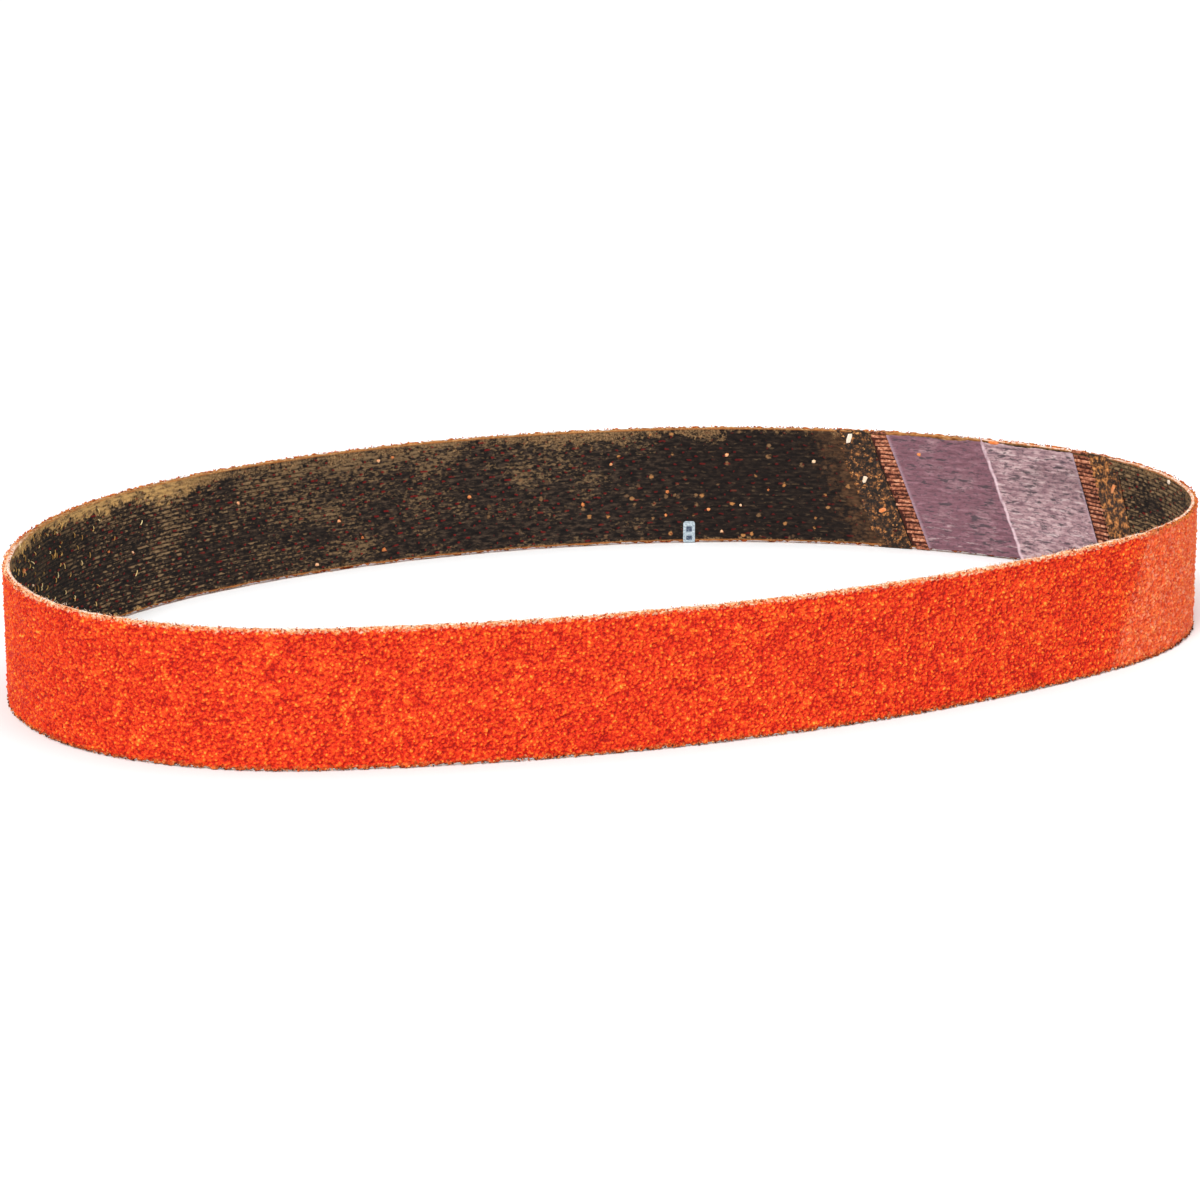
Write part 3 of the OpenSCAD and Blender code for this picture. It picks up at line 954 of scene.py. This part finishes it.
def residue_patch(name, side, seed):
    """Lumpy adhesive beyond the film, with a ragged outer edge."""
    u = spaced(SKIVE_HALF + 0.15, RESIDUE_HALF + 0.4, 0.12)
    u = JOINT_S + side * u[::side]

    def depth(s, z):
        far = np.abs(from_joint(s, z))
        ragged = RESIDUE_HALF - 0.6 + 0.9 * wobble(z, 0.9, seed) + 0.4 * wobble(z, 0.3, seed + 1)
        gone = np.clip((far - ragged) / 0.5, 0, 1)
        lumps = 0.035 * wobble2(s, z, 0.35, seed + 2) + 0.045 * wobble2(s, z, 0.8, seed + 3)
        holes = np.clip(wobble2(s, z, 1.1, seed + 4) * 1.6 - 0.55, 0, 1)
        return -0.055 - lumps * (1 - gone) + 0.14 * np.maximum(gone, holes)

    laminate(name, u, flat(0.10), depth, lambda u: 0.09 + 0.04 * wobble(u, 0.6, seed),
             lambda u: WIDTH - 0.09 + 0.04 * wobble(u, 0.6, seed), (1, 150, 2), RESIDUE,
             ["residue_bands"])


residue_patch("adhesive_residue_left", 1, 60)
residue_patch("adhesive_residue_right", -1, 70)


def solids(node, enlarged):
    """The middles and the half-axes, longest first, of the solids of a CAD node. The
    half-axes are enlarged, each by its own factor."""
    middles, axes = [], []
    for points in islands(node):
        middle = (points.min(0) + points.max(0)) / 2
        _, _, directions = np.linalg.svd(points - middle, full_matrices=False)
        reach = np.abs((points - middle) @ directions.T).max(0)
        middles.append(middle)
        axes.append(directions * (reach * enlarged)[:, None])
    return np.array(middles), np.array(axes)


# Two orange lumps on the film: place along the belt, height, and half-sizes along and up
LUMPS = np.array([(200.9, 18.55, 1.3, 0.36), (213.2, 15.6, 0.45, 0.30)])
LUMP_DEPTH, LUMP_HALF_DEPTH = -0.12, 0.16
CHIP_TONES = np.array([0.95, 0.8, 0.1, 0.15, 0.6, 0.9])
LUMP_TONES = np.array([0.0, 0.1])


def chips_and_lumps():
    middles, axes = solids("adhesive_flakes", (1.0, 1.5, 2.0))
    s, z, half_along, half_up = LUMPS.T
    _, out = raw_path(s)
    zero = 0 * s
    lump_axes = np.stack([
        np.stack([-out[:, 1], out[:, 0], zero], 1) * half_along[:, None],
        np.stack([zero, zero, half_up], 1),
        np.stack([out[:, 0], out[:, 1], zero], 1) * LUMP_HALF_DEPTH,
    ], 1) * MM
    crumbs("adhesive_chips", np.concatenate([middles, place(s, zero + LUMP_DEPTH, z)]),
           np.concatenate([axes, lump_axes]), CHIP, "flakes", ["adhesive_flakes"], 80,
           np.concatenate([CHIP_TONES, LUMP_TONES]))


chips_and_lumps()
crumbs("loose_grains", *solids("stray_grains", (1.5, 1.5, 1.95)), STRAY, "strays",
       ["stray_grains"], 81)


def mark_high(u):
    """The patch's upper edge, with rounded corners."""
    corner = 0.45
    into = np.clip(np.abs(u - MARK_S) - (MARK_LENGTH / 2 - corner), 0, corner)
    return MARK_HEIGHT - corner + np.sqrt(corner * corner - into * into)


laminate(
    "printed_patch", spaced(MARK_S - MARK_LENGTH / 2, MARK_S + MARK_LENGTH / 2, 0.06),
    lambda s, z: cloth_inner(s, z) * 0.8 + 0.02, lambda s, z: cloth_inner(s, z) * 0.6 - 0.03,
    flat(0.08), mark_high, (48, 48, 2), INK, ["print_mark"], slanted=False)

# ---- cut edges: fibres and broken grain ---------------------------------------------------

BACK_REACH = 130


def back_tone(s, dimmed):
    """A factor on the tone, so that the far run's edges are browner than the near run's."""
    return np.where(np.abs(s - BACK_MIDDLE) < BACK_REACH, dimmed, 1.0)


def edge_fibres(top_count, foot_count, steps=5):
    rng = np.random.default_rng(90)
    count = top_count + foot_count
    at_top = np.arange(count) < top_count
    s = rng.uniform(0, LENGTH, count)
    depth = rng.uniform(0.02, 0.55, count)
    z = np.where(at_top, WIDTH - 0.12, 0.10)
    reach = rng.gamma(2.0, 0.16, count).clip(0.12, 1.3)
    run_s = rng.uniform(-1, 1, count) * reach
    run_depth = rng.uniform(-0.45, 0.25, count) * reach
    rise = np.where(at_top, rng.uniform(0.12, 0.55, count), rng.uniform(-0.08, 0.05, count))
    t = np.linspace(0, 1, steps)[None]
    curl = rng.uniform(-0.25, 0.25, count)[:, None] * reach[:, None]
    path_s = s[:, None] + run_s[:, None] * t + curl * t * t
    path_depth = depth[:, None] + run_depth[:, None] * t - 0.3 * curl * t * t
    path_z = z[:, None] + rise[:, None] * (t - 0.35 * t * t)
    path_z = np.where(at_top[:, None], path_z, np.clip(path_z, 0.03, None))
    thick = rng.uniform(0.018, 0.036, count)[:, None] * (1 - 0.45 * t) * MM
    tones = rng.uniform(0.1, 1, count) * back_tone(s, 0.3)
    tubes("cut_edge_fibres", place(path_s, path_depth, path_z), thick, FIBRE, (), 4,
          tones)


def edge_grains(name, count, z, depth, sizes, material, seed):
    draw = np.random.default_rng(seed)
    s = draw.uniform(0, LENGTH, count)
    spots = place(s, draw.uniform(*depth, count), draw.uniform(*z, count))
    size = draw.uniform(*sizes, count)
    spin = np.linalg.qr(draw.normal(size=(count, 3, 3)))[0]
    half = np.stack([size * 1.1, size * 0.9, size * 0.75], -1)
    tone = draw.uniform(0, 1, count) * back_tone(s, 0.62)
    crumbs(name, spots, spin * half[:, :, None] * MM, material, "grain", (), seed + 1, tone)


edge_fibres(1100, 500)
edge_grains("top_edge_grains", 1500, (WIDTH - 0.28, WIDTH - 0.01), (0.45, 1.06), (0.07, 0.17),
            CRUMB, 91)
edge_grains("foot_edge_grains", 1200, (0.20, 0.42), (0.86, 1.10), (0.10, 0.20), FOOT, 93)
edge_grains("inner_edge_grains", 260, (WIDTH - 0.15, WIDTH + 0.03), (0.0, 0.25), (0.05, 0.12),
            CRUMB, 95)


# ---- floor, light and camera --------------------------------------------------------------

FLOOR_HALF = 6
CAMERA_FROM_MIDDLE = (-2.98, -516.63)
CAMERA_HEIGHT = 141.01
CAMERA_PITCH = 14.591
CAMERA_LENS = 110.75


def floor_finish():
    material = bpy.data.materials.new("pale_studio_floor")
    material.use_nodes = True
    shader = material.node_tree.nodes["Principled BSDF"]
    shader.inputs["Base Color"].default_value = (0.93, 0.93, 0.93, 1)
    shader.inputs["Roughness"].default_value = 0.9
    shader.inputs["Specular IOR Level"].default_value = 0.1
    return material


floor_mesh = bpy.data.meshes.new("floor")
corners = [(-1, -1), (1, -1), (1, 1), (-1, 1)]
floor_mesh.from_pydata([(x * FLOOR_HALF, y * FLOOR_HALF, 0) for x, y in corners], [],
                       [(0, 1, 2, 3)])
floor_mesh.materials.append(floor_finish())
floor = add_object("floor", floor_mesh)

world = bpy.data.worlds.new("studio")
bpy.context.scene.world = world
world.use_nodes = True
background = world.node_tree.nodes["Background"]
background.inputs["Color"].default_value = (1, 1, 1, 1)
background.inputs["Strength"].default_value = 0.5


def facing(way):
    """The rotation of a lamp that shines this way."""
    x, y, z = way
    return math.atan2(math.hypot(x, y), -z), 0, math.atan2(y, x) - math.pi / 2


def area_light(name, location, target, side, power):
    lamp = bpy.data.lights.new(name, "AREA")
    lamp.shape = "RECTANGLE"
    lamp.size = lamp.size_y = side
    lamp.energy = power
    obj = add_object(name, lamp)
    obj.location = location
    obj.rotation_euler = facing([a - b for a, b in zip(target, location)])


def sun_light(name, way, spread, strength):
    lamp = bpy.data.lights.new(name, "SUN")
    lamp.energy = strength
    lamp.angle = math.radians(spread)
    add_object(name, lamp).rotation_euler = facing(way)


sun_light("broad_key", (0.36, 0.85, -0.85), 22, 2.3)
area_light("overhead", (0.1, 0.1, 1.1), (0, 0, 0), 0.9, 5.0)
area_light("right_fill", (0.85, -0.75, 0.45), (0.06, 0, 0.01), 0.5, 2.2)

lens = bpy.data.cameras.new("camera")
lens.sensor_width = 36
lens.lens = CAMERA_LENS
lens.clip_start = 0.01
camera = add_object("camera", lens)
aside, back = (CORE_LOW + CORE_HIGH)[:2] / 2 + CAMERA_FROM_MIDDLE
camera.location = (aside * MM, back * MM, CAMERA_HEIGHT * MM)
camera.rotation_euler = (math.radians(90 - CAMERA_PITCH), 0, 0)
bpy.context.scene.camera = camera
bpy.context.scene.view_settings.view_transform = "Standard"
